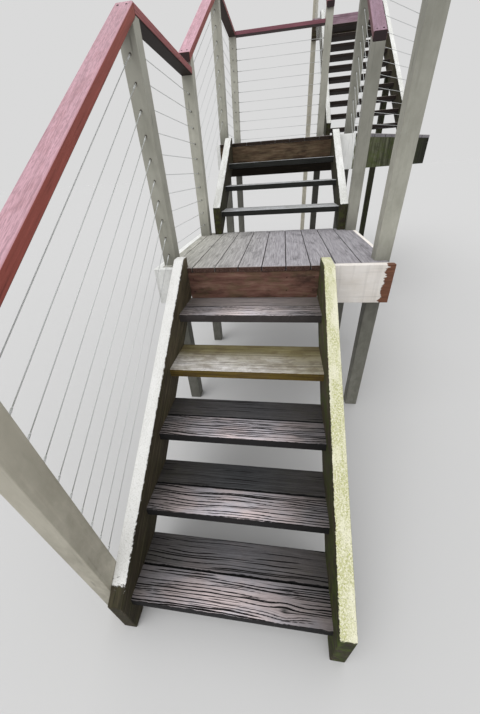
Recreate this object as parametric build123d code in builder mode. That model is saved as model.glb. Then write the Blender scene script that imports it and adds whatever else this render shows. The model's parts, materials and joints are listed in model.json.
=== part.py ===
from build123d import *
from math import atan, cos, sqrt
import os

# Wooden deck stairs climbing a slope in three flights with two landings.
# X runs across the stairs, Y up the stairs and Z up.
# Places are measured from the ground under the first nosing, midway between the lower stringers.
# Each finished piece then moves so that the origin is in the middle of the footprint, on the ground.

# Timber sections
post_size = 88
stringer_thick = 62
stringer_below = 200
tread_thick = 45
riser_thick = 25
joist_thick = 45
joist_depth = 140
fascia_thick = 45
fascia_depth = 240
deck_thick = 32
board_gap = 6
narrowest_board = 40
rail_width = 90
rail_thick = 45
rail_edge = 5
back_rail_thick = 36

# Cable balustrade
cable_sides = 6
cable_radius = 2
fitting_radius = 4
fitting_length = 45
cable_pitch = 104
cable_first_drop = 150
splay_cable_drop = 174
splay_cable_offset = 33
cables_level = 10
cables_short = 9

# Lower flight, five open treads of two boards each, the fourth one a single wide board
lower_width = 850
lower_first_rise = 186
lower_rise = 203
lower_going = 287
lower_tread_count = 5
lower_single_tread = 4
tread_board = 137
lower_left_stringer_above = 95
lower_right_stringer_above = 150
lower_left_stringer_top = 65
lower_right_stringer_top = 40
lower_stringer_toe = 45

# Lower landing
nosing_overhang = 5
landing_left = -606
landing_right = 860
landing_run = 1201
lower_first_board = 60
lower_board_width = 146
right_fascia_thick = 26
tall_post_x = 804

# Middle flight, three open treads and a riser board
middle_rise = 196
middle_going = 323
middle_tread_count = 3
middle_tread_board = 140
middle_left_stringer_above = 67
middle_right_stringer_above = 47
middle_stringer_toe = 46
middle_stringer_thick = 70
middle_left = -472
middle_stringer_top = 50

# Upper landing, its front right corner cut off at 45 degrees
upper_left = -550
upper_right = 2160
upper_run = 1354
upper_board_width = 154
upper_fascia_depth = 320
upper_back_post_x = 694
upper_right_post_x = 895
splay_corner_x = 950
splay_post_x = 1950
splay_post_y = 4800
splay_rail_overhang = 66

# Upper flight, ten open treads to the edge of the deck
flight_setback = 31
flight_left = 840
flight_right = 1815
upper_rise = 180
upper_going = 240
upper_tread_count = 10
upper_tread_depth = 235
upper_tread_thick = 40
upper_stringer_above = 120
upper_stringer_toe = 90
upper_stringer_top = 65
deck_board_width = 140
flight_post_y = 6240

# Posts and handrails
foot_post_y = 43
tall_post_height = 3000
foot_rail_height = 1400
foot_rail_reach = 110
landing_rail_height = 1187
upper_rail_height = 1211
deck_rail_height = 1200
sloping_rail_overhang = 22
middle_left_rail_step = 74
middle_right_rail_step = 60
upper_rail_step = 131
joist_count_lower = 4
joist_count_upper = 5

# Levels and places that follow from the sizes above
half_post = post_size / 2
lower_half = lower_width / 2
lower_outer = lower_half + stringer_thick
lower_slope = lower_rise / lower_going
middle_slope = middle_rise / middle_going
upper_slope = upper_rise / upper_going

lower_top = lower_first_rise + lower_tread_count * lower_rise
lower_nosing = lower_tread_count * lower_going
lower_riser_front = lower_nosing + nosing_overhang
lower_joist_front = lower_riser_front + riser_thick
lower_post_front = lower_joist_front + joist_thick
lower_front_post_y = lower_post_front + half_post
lower_joist_back = lower_nosing + landing_run
lower_back_post_y = lower_joist_back - half_post
lower_back = lower_joist_back + joist_thick
left_post_x = landing_left + half_post
right_post_x = landing_right - half_post
landing_inner_right = landing_right - right_fascia_thick
foot_post_x = -lower_outer - half_post

middle_right = landing_right - post_size
middle_inner_left = middle_left + middle_stringer_thick
middle_inner_right = middle_right - middle_stringer_thick
middle_first = lower_nosing + landing_run
upper_top = lower_top + (middle_tread_count + 1) * middle_rise
upper_nosing = middle_first + middle_tread_count * middle_going
upper_riser_front = upper_nosing + nosing_overhang
upper_joist_front = upper_riser_front + riser_thick
upper_post_front = upper_joist_front + joist_thick
upper_front_post_y = upper_post_front + half_post
upper_joist_back = upper_nosing + upper_run - joist_thick
upper_back_post_y = upper_joist_back - half_post
upper_back = upper_joist_back + joist_thick
upper_left_post_x = upper_left + half_post
upper_deck_under = upper_top - deck_thick
splay_line = upper_joist_front - fascia_thick - splay_corner_x
splay_inner_line = splay_line + fascia_thick * sqrt(2)
upper_inner_right = upper_right - fascia_thick

flight_first = upper_back + flight_setback
deck_top = upper_top + (upper_tread_count + 1) * upper_rise
deck_nosing = flight_first + upper_tread_count * upper_going
deck_riser_front = deck_nosing + nosing_overhang
deck_beam_front = deck_riser_front + riser_thick
deck_post_front = deck_beam_front + joist_thick
deck_post_y = deck_post_front + half_post
deck_right_post_x = flight_right + half_post

lower_rail_top = lower_top + landing_rail_height
upper_rail_top = upper_top + upper_rail_height
middle_rail_start = lower_joist_back - post_size - sloping_rail_overhang
middle_rail_low = lower_rail_top + middle_left_rail_step
right_rail_start = lower_joist_back - post_size
right_rail_low = lower_rail_top + middle_right_rail_step
flight_rail_start = upper_joist_back - post_size - sloping_rail_overhang
flight_rail_low = upper_rail_top + upper_rail_step
flight_rail_top = deck_top + deck_rail_height

footprint_left = landing_left - fascia_thick
footprint_right = upper_right
footprint_front = foot_post_y - foot_rail_reach
footprint_back = deck_post_y + half_post
to_middle = Vector(-(footprint_left + footprint_right) / 2,
                   -(footprint_front + footprint_back) / 2, 0)


def save(piece, name):
    piece.part.label = name
    piece.part.position = to_middle
    export_step(piece.part, f"parts/{name}.step")


def block(x0, x1, y0, y1, z0, z1):
    """A square-cut timber between six faces."""
    with BuildSketch(Plane.XY.offset(z0)) as outline:
        with Locations(((x0 + x1) / 2, (y0 + y1) / 2)):
            Rectangle(x1 - x0, y1 - y0)
    extrude(outline.sketch, amount=z1 - z0)


def plan_profile(points, z0, z1):
    """A timber with this outline in plan, from z0 to z1."""
    with BuildSketch(Plane.XY.offset(z0)) as outline:
        with BuildLine():
            Polyline(*points, close=True)
        make_face()
    extrude(outline.sketch, amount=z1 - z0)


def side_profile(x0, x1, points):
    """A timber with this outline in the Y and Z plane, from x0 to x1."""
    with BuildSketch(Plane.YZ.offset(x0)) as outline:
        with BuildLine():
            Polyline(*points, close=True)
        make_face()
    extrude(outline.sketch, amount=x1 - x0)


def upright(x, y, top_front, top_back, foot=0.0):
    """A square post whose top is cut to the slope of what lies on it."""
    front = y - half_post
    back = y + half_post
    side_profile(x - half_post, x + half_post,
                 [(front, foot), (back, foot), (back, top_back), (front, top_front)])


class Rail:
    """A straight handrail between two points on its top face, with plumb ends."""

    def __init__(self, x0, y0, z0, x1, y1, z1):
        self.start = Vector(x0, y0, z0)
        self.end = Vector(x1, y1, z1)
        self.slope = (z1 - z0) / (y1 - y0)
        self.plumb_thick = rail_thick / cos(atan(self.slope))

    def top(self, y):
        return self.start.Z + (y - self.start.Y) * self.slope

    def under(self, y):
        return self.top(y) - self.plumb_thick

    def centre(self, y):
        share = (y - self.start.Y) / (self.end.Y - self.start.Y)
        return self.start.X + share * (self.end.X - self.start.X)


def rail_solid(rail):
    """The handrail, with its upper long edges eased."""
    run = rail.end - rail.start
    with BuildSketch(Plane.XZ.offset(-rail.start.Y)) as outline:
        with Locations((rail.start.X, rail.start.Z - rail.plumb_thick / 2)):
            Rectangle(rail_width, rail.plumb_thick)
        upper = outline.vertices().group_by(Axis.Z)[-1]
        chamfer(upper, rail_edge)
    extrude(outline.sketch, amount=run.length, dir=run)


def cable_run(start, end):
    """One taut cable between two post faces, with a swaged fitting at each end."""
    run = end - start
    unit = run.normalized()
    reach = fitting_length / unit.Y
    for radius, first, length in ((fitting_radius, start, reach),
                                  (cable_radius, start + unit * reach, run.length - 2 * reach),
                                  (fitting_radius, end - unit * reach, reach)):
        with BuildSketch(Plane.XZ.offset(-first.Y)) as section:
            with Locations((first.X, first.Z)):
                RegularPolygon(radius, cable_sides)
        extrude(section.sketch, amount=length, dir=unit)


def cable_panel(rail, front_face, back_face, count):
    """Parallel cables under a rail, from the back of one post to the front of the next."""
    for index in range(count):
        drop = cable_first_drop + index * cable_pitch
        cable_run(Vector(rail.centre(front_face), front_face, rail.top(front_face) - drop),
                  Vector(rail.centre(back_face), back_face, rail.top(back_face) - drop))


def deck_boards(edge, first, board, level, front_at, notches):
    """Boards along Y inside the landing's edge, notched round the posts that pass through them."""
    x0 = min(x for x, y in edge)
    x1 = max(x for x, y in edge)
    back = max(y for x, y in edge)
    with BuildSketch(Plane.XY.offset(level - deck_thick)) as outline:
        left = x0
        width = first
        while left < x1:
            right = left + width
            if x1 - right < narrowest_board:
                right = x1
            for piece_left, piece_right, front in front_at(left, right):
                with Locations(((piece_left + piece_right) / 2, (front + back) / 2)):
                    Rectangle(piece_right - piece_left, back - front)
            left = right + board_gap
            width = board
        with BuildLine():
            Polyline(*edge, close=True)
        make_face(mode=Mode.INTERSECT)
        for x, y in notches:
            with Locations((x, y)):
                Rectangle(post_size, post_size, mode=Mode.SUBTRACT)
    extrude(outline.sketch, amount=deck_thick)


def notched_front(inner_left, inner_right, nosing, joist):
    """Board fronts: over the riser between the stringers, behind the fascia outside them."""
    def fronts(left, right):
        pieces = [(left, right, joist)]
        low = max(left, inner_left)
        high = min(right, inner_right)
        if high - low > board_gap:
            pieces.append((low, high, nosing))
        return pieces
    return fronts


def stringer_board(x0, front, end, ground, top_limit, nosing_y, nosing_z, slope, above,
                   thick=stringer_thick):
    """A sloping board, plumb at both ends and level where it meets its foot and top limits."""
    edge_front = nosing_z + (front - nosing_y) * slope + above
    edge_end = nosing_z + (end - nosing_y) * slope + above
    depth = above + stringer_below
    with BuildSketch(Plane.YZ.offset(x0)) as outline:
        with BuildLine():
            Polyline((front, edge_front), (end, edge_end), (end, edge_end - depth),
                     (front, edge_front - depth), close=True)
        make_face()
        with Locations(((front + end) / 2, (ground + top_limit) / 2)):
            Rectangle(end - front, top_limit - ground, mode=Mode.INTERSECT)
    extrude(outline.sketch, amount=thick)


os.makedirs("parts", exist_ok=True)

lower_rail = Rail(foot_post_x, foot_post_y, foot_rail_height,
                  left_post_x, lower_front_post_y, lower_rail_top)
lower_rail_full = Rail(lower_rail.centre(footprint_front), footprint_front,
                       lower_rail.top(footprint_front),
                       left_post_x, lower_front_post_y, lower_rail_top)
landing_rail = Rail(left_post_x, lower_front_post_y, lower_rail_top,
                    left_post_x, lower_back_post_y - half_post, lower_rail_top)
middle_rail = Rail(left_post_x, middle_rail_start, middle_rail_low,
                   upper_left_post_x, upper_front_post_y, upper_rail_top)
right_rail = Rail(right_post_x, right_rail_start, right_rail_low,
                  upper_right_post_x, upper_front_post_y + half_post, upper_rail_top)
upper_side_rail = Rail(upper_left_post_x, upper_front_post_y, upper_rail_top,
                       upper_left_post_x, upper_back_post_y + rail_width / 2, upper_rail_top)
flight_rail = Rail(upper_back_post_x, flight_rail_start, flight_rail_low,
                   upper_back_post_x, deck_post_y, flight_rail_top)

# Lower flight
for side, inner, above, over in (
        ("left", -lower_outer, lower_left_stringer_above, lower_left_stringer_top),
        ("right", lower_half, lower_right_stringer_above, lower_right_stringer_top)):
    with BuildPart() as stringer:
        stringer_board(inner, -lower_stringer_toe, lower_joist_front, 0, lower_top + over,
                       0, lower_first_rise, lower_slope, above)
    save(stringer, f"stringer_lower_{side}")

lower_tread_depth = 2 * tread_board + board_gap
for number in range(1, lower_tread_count + 1):
    front = (number - 1) * lower_going
    top = lower_first_rise + (number - 1) * lower_rise
    with BuildPart() as tread:
        if number == lower_single_tread:
            block(-lower_half, lower_half, front, front + lower_tread_depth, top - tread_thick, top)
        else:
            block(-lower_half, lower_half, front, front + tread_board, top - tread_thick, top)
            block(-lower_half, lower_half, front + tread_board + board_gap,
                  front + lower_tread_depth, top - tread_thick, top)
    save(tread, f"tread_lower_{number}")

with BuildPart() as riser_lower:
    block(-lower_half, lower_half, lower_riser_front, lower_joist_front,
          lower_top - lower_rise, lower_top - deck_thick)
save(riser_lower, "riser_lower")

# Lower landing
lower_posts = [(left_post_x, lower_front_post_y), (tall_post_x, lower_front_post_y),
               (left_post_x, lower_back_post_y), (right_post_x, lower_back_post_y)]
lower_edge = [(landing_left, lower_nosing), (landing_inner_right, lower_nosing),
              (landing_inner_right, lower_back), (landing_left, lower_back)]
with BuildPart() as landing_lower_boards:
    deck_boards(lower_edge, lower_first_board, lower_board_width, lower_top,
                notched_front(-lower_half, lower_half, lower_nosing, lower_joist_front),
                lower_posts)
save(landing_lower_boards, "landing_lower_boards")

with BuildPart() as landing_lower_joists:
    step = (lower_joist_back - lower_joist_front) / (joist_count_lower - 1)
    for index in range(joist_count_lower):
        front = lower_joist_front + index * step
        rim = index in (0, joist_count_lower - 1)
        right = landing_right if rim else landing_inner_right
        block(landing_left, right, front, front + joist_thick,
              lower_top - deck_thick - joist_depth, lower_top - deck_thick)
save(landing_lower_joists, "landing_lower_joists")

lower_return_front = lower_joist_front - fascia_thick
lower_fascia_foot = lower_top - fascia_depth
with BuildPart() as landing_lower_fascia_left:
    block(landing_left - fascia_thick, landing_left, lower_joist_front, lower_back,
          lower_fascia_foot, lower_top)
    block(landing_left - fascia_thick, -lower_outer, lower_return_front, lower_joist_front,
          lower_fascia_foot, lower_top)
save(landing_lower_fascia_left, "landing_lower_fascia_left")

# The right hand side board stands between the two posts, flush with their outer faces
with BuildPart() as landing_lower_fascia_right:
    block(landing_inner_right, landing_right, lower_post_front + post_size,
          lower_joist_back - post_size, lower_fascia_foot, lower_top)
    block(lower_outer, landing_right, lower_return_front, lower_joist_front,
          lower_fascia_foot, lower_top)
save(landing_lower_fascia_right, "landing_lower_fascia_right")

# Middle flight
for side, inner, above in (
        ("left", middle_left, middle_left_stringer_above),
        ("right", middle_inner_right, middle_right_stringer_above)):
    with BuildPart() as stringer:
        stringer_board(inner, middle_first - middle_stringer_toe, upper_joist_front, lower_top,
                       upper_top + middle_stringer_top, middle_first, lower_top + middle_rise,
                       middle_slope, above, middle_stringer_thick)
    save(stringer, f"stringer_middle_{side}")

with BuildPart() as treads_middle:
    for number in range(1, middle_tread_count + 1):
        front = middle_first + (number - 1) * middle_going
        top = lower_top + number * middle_rise
        second = front + middle_tread_board + board_gap
        block(middle_inner_left, middle_inner_right, front, front + middle_tread_board,
              top - tread_thick, top)
        block(middle_inner_left, middle_inner_right, second, second + middle_tread_board,
              top - tread_thick, top)
save(treads_middle, "treads_middle")

with BuildPart() as riser_middle:
    block(middle_inner_left, middle_inner_right, upper_riser_front, upper_joist_front,
          upper_top - middle_rise, upper_deck_under)
save(riser_middle, "riser_middle")

# Upper landing
upper_posts = [(upper_left_post_x, upper_front_post_y), (upper_right_post_x, upper_front_post_y),
               (upper_left_post_x, upper_back_post_y), (upper_back_post_x, upper_back_post_y),
               (splay_post_x, splay_post_y)]
upper_fascia_foot = upper_top - upper_fascia_depth
splay_outer_end = (upper_right, upper_right + splay_line)
splay_inner_start = (upper_joist_front - splay_inner_line, upper_joist_front)
splay_inner_end = (upper_inner_right, upper_inner_right + splay_inner_line)
upper_edge = [(upper_left, upper_nosing), (upper_nosing - splay_line, upper_nosing),
              splay_outer_end, (upper_right, upper_back), (upper_left, upper_back)]
with BuildPart() as landing_upper_boards:
    deck_boards(upper_edge, upper_board_width, upper_board_width, upper_top,
                notched_front(middle_inner_left, middle_inner_right, upper_nosing,
                              upper_joist_front),
                upper_posts)
save(landing_upper_boards, "landing_upper_boards")

with BuildPart() as landing_upper_joists:
    step = (upper_joist_back - upper_joist_front) / (joist_count_upper - 1)
    with BuildSketch(Plane.XY.offset(upper_deck_under - joist_depth)) as outline:
        for index in range(joist_count_upper):
            centre = upper_joist_front + index * step + joist_thick / 2
            with Locations(((upper_left + upper_right) / 2, centre)):
                Rectangle(upper_right - upper_left, joist_thick)
        with BuildLine():
            Polyline((upper_left, upper_joist_front), splay_inner_start, splay_inner_end,
                     (upper_inner_right, upper_back), (upper_left, upper_back), close=True)
        make_face(mode=Mode.INTERSECT)
    extrude(outline.sketch, amount=joist_depth)
save(landing_upper_joists, "landing_upper_joists")

with BuildPart() as landing_upper_fascia_left:
    block(upper_left - fascia_thick, upper_left, upper_joist_front, upper_back,
          upper_top - fascia_depth, upper_top)
save(landing_upper_fascia_left, "landing_upper_fascia_left")

# The front board beside the middle flight, and the short one at the far end of the splay
upper_return_front = upper_joist_front - fascia_thick
with BuildPart() as landing_upper_fascia_right:
    plan_profile([(middle_right, upper_return_front), (splay_corner_x, upper_return_front),
                  splay_inner_start, (middle_right, upper_joist_front)],
                 upper_fascia_foot, upper_top)
    plan_profile([splay_outer_end, (upper_right, upper_back), (upper_inner_right, upper_back),
                  splay_inner_end], upper_fascia_foot, upper_deck_under)
save(landing_upper_fascia_right, "landing_upper_fascia_right")

with BuildPart() as landing_upper_fascia_splay:
    plan_profile([(splay_corner_x, upper_return_front), splay_outer_end, splay_inner_end,
                  splay_inner_start], upper_fascia_foot, upper_deck_under)
save(landing_upper_fascia_splay, "landing_upper_fascia_splay")

# Upper flight
for side in ("left", "right"):
    inner = flight_left - stringer_thick if side == "left" else flight_right
    with BuildPart() as stringer:
        stringer_board(inner, flight_first - upper_stringer_toe, deck_beam_front, upper_top,
                       deck_top + upper_stringer_top, flight_first, upper_top + upper_rise,
                       upper_slope, upper_stringer_above)
    save(stringer, f"stringer_upper_{side}")

with BuildPart() as treads_upper:
    for number in range(1, upper_tread_count + 1):
        front = flight_first + (number - 1) * upper_going
        top = upper_top + number * upper_rise
        block(flight_left, flight_right, front, front + upper_tread_depth,
              top - upper_tread_thick, top)
save(treads_upper, "treads_upper")

deck_left = upper_back_post_x - half_post
deck_right = flight_right + post_size
with BuildPart() as deck_edge_riser:
    block(flight_left, flight_right, deck_riser_front, deck_beam_front,
          deck_top - deck_thick - joist_depth, deck_top - deck_thick)
save(deck_edge_riser, "deck_edge_riser")

with BuildPart() as deck_edge_beam:
    block(deck_left, deck_right, deck_beam_front, deck_post_front,
          deck_top - deck_thick - fascia_depth, deck_top - deck_thick)
save(deck_edge_beam, "deck_edge_beam")

with BuildPart() as deck_edge_boards:
    deck_board_back = deck_nosing + deck_board_width
    block(flight_left, flight_right, deck_nosing, deck_beam_front, deck_top - deck_thick, deck_top)
    block(deck_left, deck_right, deck_beam_front, deck_board_back, deck_top - deck_thick, deck_top)
    with BuildSketch(Plane.XY.offset(deck_top - deck_thick)) as notch:
        with Locations((upper_back_post_x, deck_post_y)):
            Rectangle(post_size, post_size)
    extrude(notch.sketch, amount=deck_thick, mode=Mode.SUBTRACT)
save(deck_edge_boards, "deck_edge_boards")

# Posts
with BuildPart() as post_foot:
    upright(foot_post_x, foot_post_y, lower_rail.under(foot_post_y - half_post),
            lower_rail.under(foot_post_y + half_post))
save(post_foot, "post_foot")

with BuildPart() as post_landing_left_front:
    y = lower_front_post_y
    side_profile(left_post_x - half_post, left_post_x + half_post,
                 [(y - half_post, 0), (y + half_post, 0), (y + half_post, landing_rail.under(y)),
                  (y, landing_rail.under(y)), (y, lower_rail.under(y)),
                  (y - half_post, lower_rail.under(y - half_post))])
save(post_landing_left_front, "post_landing_left_front")

for name, x, rail in (("post_landing_left_back", left_post_x, middle_rail),
                      ("post_landing_right_back", right_post_x, right_rail)):
    with BuildPart() as post:
        upright(x, lower_back_post_y, rail.under(lower_back_post_y - half_post),
                rail.under(lower_back_post_y + half_post))
    save(post, name)

with BuildPart() as post_landing_right_front:
    upright(tall_post_x, lower_front_post_y, tall_post_height, tall_post_height)
save(post_landing_right_front, "post_landing_right_front")

with BuildPart() as post_upper_left_front:
    y = upper_front_post_y
    side_profile(upper_left_post_x - half_post, upper_left_post_x + half_post,
                 [(y - half_post, 0), (y + half_post, 0),
                  (y + half_post, upper_side_rail.under(y)), (y, upper_side_rail.under(y)),
                  (y, middle_rail.under(y)), (y - half_post, middle_rail.under(y - half_post))])
save(post_upper_left_front, "post_upper_left_front")

with BuildPart() as post_upper_left_back:
    upright(upper_left_post_x, upper_back_post_y, upper_side_rail.under(upper_back_post_y),
            upper_side_rail.under(upper_back_post_y))
save(post_upper_left_back, "post_upper_left_back")

with BuildPart() as post_upper_back:
    upright(upper_back_post_x, upper_back_post_y,
            flight_rail.under(upper_back_post_y - half_post),
            flight_rail.under(upper_back_post_y + half_post))
save(post_upper_back, "post_upper_back")

with BuildPart() as post_upper_right_front:
    upright(upper_right_post_x, upper_front_post_y,
            right_rail.under(upper_front_post_y - half_post),
            right_rail.under(upper_front_post_y + half_post))
save(post_upper_right_front, "post_upper_right_front")

with BuildPart() as post_splay:
    upright(splay_post_x, splay_post_y, upper_rail_top - rail_thick, upper_rail_top - rail_thick)
save(post_splay, "post_splay")

with BuildPart() as post_flight:
    under = upper_top + upper_rise - stringer_below + (flight_post_y - flight_first) * upper_slope
    upright(flight_right + stringer_thick / 2, flight_post_y, under - half_post * upper_slope,
            under + half_post * upper_slope)
save(post_flight, "post_flight")

with BuildPart() as post_deck_left:
    upright(upper_back_post_x, deck_post_y, flight_rail.under(deck_post_y - half_post),
            flight_rail.under(deck_post_y + half_post))
save(post_deck_left, "post_deck_left")

with BuildPart() as post_deck_right:
    upright(deck_right_post_x, deck_post_y, deck_top - deck_thick, deck_top - deck_thick)
save(post_deck_right, "post_deck_right")

# Handrails
for name, rail in (("handrail_lower", lower_rail_full), ("handrail_landing", landing_rail),
                   ("handrail_middle_left", middle_rail), ("handrail_middle_right", right_rail),
                   ("handrail_upper_side", upper_side_rail)):
    with BuildPart() as handrail:
        rail_solid(rail)
    save(handrail, name)

with BuildPart() as handrail_upper_back:
    block(upper_left_post_x + rail_width / 2, upper_back_post_x - half_post,
          upper_back_post_y - rail_width / 2, upper_back_post_y + rail_width / 2,
          upper_rail_top - back_rail_thick, upper_rail_top)
save(handrail_upper_back, "handrail_upper_back")

# The rail along the splay butts against the side of the one that climbs to it
with BuildPart() as handrail_splay:
    corner = Vector(upper_right_post_x, upper_front_post_y)
    along = (Vector(splay_post_x, splay_post_y) - corner).normalized()
    far = Vector(splay_post_x, splay_post_y) + along * splay_rail_overhang
    across = along.rotate(Axis.Z, 90) * (rail_width / 2)
    joint = [(right_rail.centre(y) + rail_width / 2, y)
             for y in (upper_post_front - post_size, upper_back)]
    with BuildSketch(Plane.XY.offset(upper_rail_top - rail_thick)) as outline:
        with BuildLine():
            Polyline(corner - across, far - across, far + across, corner + across, close=True)
        make_face()
        with BuildLine():
            Polyline(joint[0], (upper_right, joint[0][1]), (upper_right, joint[1][1]), joint[1],
                     close=True)
        make_face(mode=Mode.INTERSECT)
    extrude(outline.sketch, amount=rail_thick)
    chamfer(handrail_splay.edges().group_by(Axis.Z)[-1], rail_edge)
save(handrail_splay, "handrail_splay")

with BuildPart() as handrail_flight:
    rail_solid(Rail(upper_back_post_x, flight_rail_start, flight_rail_low,
                    upper_back_post_x, deck_post_y + half_post,
                    flight_rail.top(deck_post_y + half_post)))
save(handrail_flight, "handrail_flight")

# Cable panels
panels = (
    ("cables_lower", lower_rail, foot_post_y + half_post, lower_post_front, cables_level),
    ("cables_landing", landing_rail, lower_post_front + post_size,
     lower_joist_back - post_size, cables_level),
    ("cables_middle_left", middle_rail, lower_joist_back, upper_post_front, cables_short),
    ("cables_middle_right", right_rail, lower_joist_back, upper_post_front, cables_short),
    ("cables_upper_side", upper_side_rail, upper_post_front + post_size,
     upper_joist_back - post_size, cables_level),
    ("cables_flight", flight_rail, upper_joist_back, deck_post_front, cables_level),
)
for name, rail, front_face, back_face, count in panels:
    with BuildPart() as panel:
        cable_panel(rail, front_face, back_face, count)
    save(panel, name)

with BuildPart() as cables_upper_back:
    left = upper_left + post_size
    right = upper_back_post_x - half_post
    for index in range(cables_level):
        level = upper_rail_top - cable_first_drop - index * cable_pitch
        for radius, first, length in ((fitting_radius, left, fitting_length),
                                      (cable_radius, left + fitting_length,
                                       right - left - 2 * fitting_length),
                                      (fitting_radius, right - fitting_length, fitting_length)):
            with BuildSketch(Plane.YZ.offset(first)) as section:
                with Locations((upper_back_post_y, level)):
                    RegularPolygon(radius, cable_sides)
            extrude(section.sketch, amount=length)
save(cables_upper_back, "cables_upper_back")

with BuildPart() as cables_splay:
    start = (upper_right_post_x + splay_cable_offset, upper_post_front + post_size)
    end = (splay_post_x - splay_cable_offset, splay_post_y - half_post)
    for index in range(cables_level):
        level = upper_rail_top - splay_cable_drop - index * cable_pitch
        cable_run(Vector(*start, level), Vector(*end, level))
save(cables_splay, "cables_splay")
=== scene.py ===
import json
import math
import random

import bmesh
import bpy
import numpy as np
from mathutils import Matrix, Vector


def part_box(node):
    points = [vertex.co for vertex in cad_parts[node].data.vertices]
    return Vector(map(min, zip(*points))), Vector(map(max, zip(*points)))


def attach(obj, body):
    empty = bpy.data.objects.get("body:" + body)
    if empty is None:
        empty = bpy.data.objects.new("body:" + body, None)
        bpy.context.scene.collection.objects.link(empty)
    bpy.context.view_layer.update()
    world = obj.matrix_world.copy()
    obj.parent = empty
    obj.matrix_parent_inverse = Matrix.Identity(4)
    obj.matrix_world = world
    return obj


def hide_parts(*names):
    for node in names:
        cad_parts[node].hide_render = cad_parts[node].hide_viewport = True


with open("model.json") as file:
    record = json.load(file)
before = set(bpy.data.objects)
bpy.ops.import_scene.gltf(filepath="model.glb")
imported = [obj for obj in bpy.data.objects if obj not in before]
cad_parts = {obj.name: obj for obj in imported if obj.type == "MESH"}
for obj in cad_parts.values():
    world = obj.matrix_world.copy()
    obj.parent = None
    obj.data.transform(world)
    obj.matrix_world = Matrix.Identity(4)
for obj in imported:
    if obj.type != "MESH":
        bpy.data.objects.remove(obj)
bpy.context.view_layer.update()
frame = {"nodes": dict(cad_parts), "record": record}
nodes = frame["nodes"]
slots = {part["node"]: part["material_slot"] for part in frame["record"]["subparts"]}

# Random draws: one row for timbers, one for split boards, and how far apart their grains start
dice = random.Random(7)
draw = np.random.default_rng(11)
SEED_SPREAD = 40

# Camera, where the photographer stood: on the ground in front of the lowest tread
EYE = Vector((-0.5675, -4.078, 1.700))
YAW = 9.63
PITCH = 33.6
ROLL = -3.97
FOCAL_PIXELS = 276.4
IMAGE_HEIGHT = 714
SENSOR = 36.0
NEAREST_SEEN = 0.01

# Light
SKY = 0.87
SUN = 1.1
SUN_SPREAD = 50
SUN_TURN = (30, 0, -35)
FLOOR_SEEN = 0.60
FLOOR_BOUNCE = 0.45
BACKGROUND = 0.70
FLOOR_REACH = 400
FLOOR_DROP = 0.001

# Timber: metres, degrees for edges, and cosines for how upright or end-on a face is
ARRIS = 0.003
BOARD_ARRIS = 0.0025
RAIL_ARRIS = 0.0026
STRINGER_ARRIS = 0.004
ARRIS_STEPS = 2
SHARP_EDGE = 25
FLAT_EDGE = 1
MERGE_DISTANCE = 1e-5
TOUCH = 1e-4
NEAR_UPRIGHT = 0.9
END_FACING = 0.8
DIRT_HEIGHT = 1.1
# How far the dirt above a deck and the painted shade below it reach
SPLASH_AND_SHADE = 0.22
RISER_DROP = 0.015
RISER_ARRIS = 0.001
DIRT_SINK = 0.005
DIRT_BACK = 0.004
DIRT_BITE = 0.002
DIRT_ARRIS = 0.001
BEARER_SET_BACK = 0.001
BEARER_THICK = 0.044

# Where paint is gone: up to this Y on a stringer, and between these X and Y on an edge board
BARE_FOOT = -3.722
ROT_ACROSS = (0.02, 0.09)
ROT_DEPTH = (-2.27, -2.30)

# Split tread boards
BOARD_GAP = 0.006
SINGLE_TREAD = 4
ACROSS_STEP = 0.0017
ALONG_STEP = 0.009
EDGE_ROUND = 0.003
SPLIT_SPACING = 0.0125
SPLIT_SWAY = 0.006
SPLIT_DRIFT = 0.0022
DEEP_HALF = 0.0022
FINE_HALF = 0.0013
BITE_FINE = 0.0035
BITE_BROAD = 0.0030
BITE_BACK = 0.007
BITE_DOWN = 0.030

# Cable fittings
WIRE_RADIUS = 0.002
WIRE_SIDES = 8
SLEEVE_RADIUS = 0.0034
SLEEVE_LENGTH = 0.045
SLEEVE_TAPER = 0.008
SLEEVE_SIDES = 10
NUT_RADIUS = 0.0050
NUT_LENGTH = 0.006
NUT_SIDES = 6
WASHER_RADIUS = 0.0066
WASHER_THICK = 0.0015
WASHER_SIDES = 12

# Screws in the rails
SCREW_RADIUS = 0.0055
SCREW_SIDES = 10
SCREW_SINK = 0.004
SCREW_RISE = 0.00012
SCREW_INSET = 0.034
SCREW_SPREAD = 0.021
TOP_BAND = 0.006

# Nails in the riser: three columns, two of them at the right end
NAIL_RADIUS = 0.0035
NAIL_SIDES = 8
NAIL_SINK = 0.003
NAIL_RISE = 0.0006
NAIL_INSET = 0.03
NAIL_COLUMN = 0.20
NAIL_HEIGHTS = (0.25, 0.75)


def srgb(red, green, blue):
    """A colour as it looks on screen, 0 to 255, given as linear values."""
    linear = []
    for value in (red, green, blue):
        part = value / 255
        linear.append(part / 12.92 if part <= 0.04045 else ((part + 0.055) / 1.055) ** 2.4)
    return (*linear, 1)


def dimmed(colour, amount):
    """The colour with its linear values times this amount."""
    return (*(part * amount for part in colour[:3]), 1)


BLACK_SPLIT = srgb(15, 13, 12)
# A cool blue-white painted sheen on the pale worn middles of the treads
COOL_SHEEN = srgb(196, 196, 206)
TREAD_END = srgb(74, 62, 52)
MOSS = srgb(72, 84, 30)


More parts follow.
